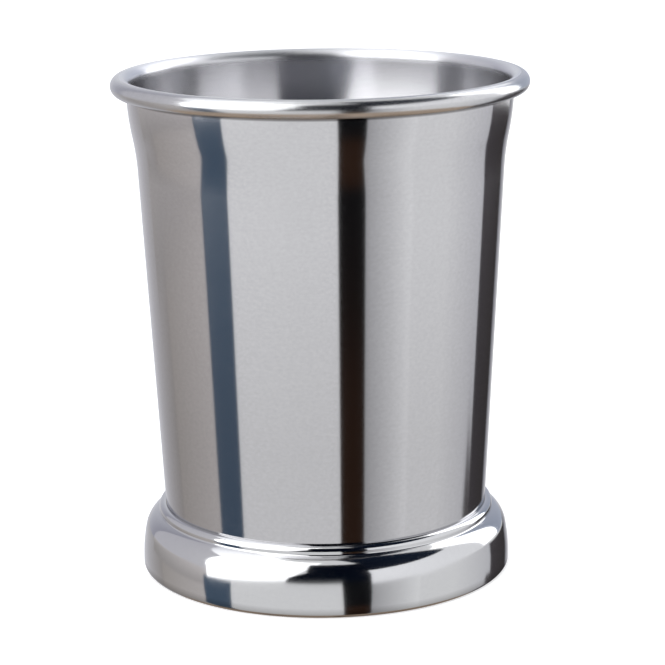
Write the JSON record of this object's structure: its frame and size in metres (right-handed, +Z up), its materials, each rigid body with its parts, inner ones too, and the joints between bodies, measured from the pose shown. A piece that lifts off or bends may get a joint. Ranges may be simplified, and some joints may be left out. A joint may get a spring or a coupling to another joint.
{
  "type": "julep cup",
  "caption": "Footed drinking cup in satin stainless steel, tapered, with a flared mouth, a polished rolled lip and a polished moulded foot ring.",
  "frame": {"origin": "on the cup's axis, in the plane of the hem that it stands on", "axes": "+Z up along the cup's axis, +X and +Y any two square directions, as the cup is round"},
  "size_m": [0.089, 0.089, 0.108],
  "materials": {
    "satin_steel": "satin stainless steel, fine brushing lines round the cup, lip and inside smoother",
    "polished_steel": "mirror-polished stainless steel",
    "plain_steel": "plain pressed stainless steel, turned lightly",
    "braze": "dull silver-coloured braze metal"
  },
  "bodies": {
    "root": {"cup_body": "satin_steel", "foot_ring": "polished_steel", "base_plate": "plain_steel", "collar_braze": "braze", "base_braze": "braze"}
  },
  "joints": []
}
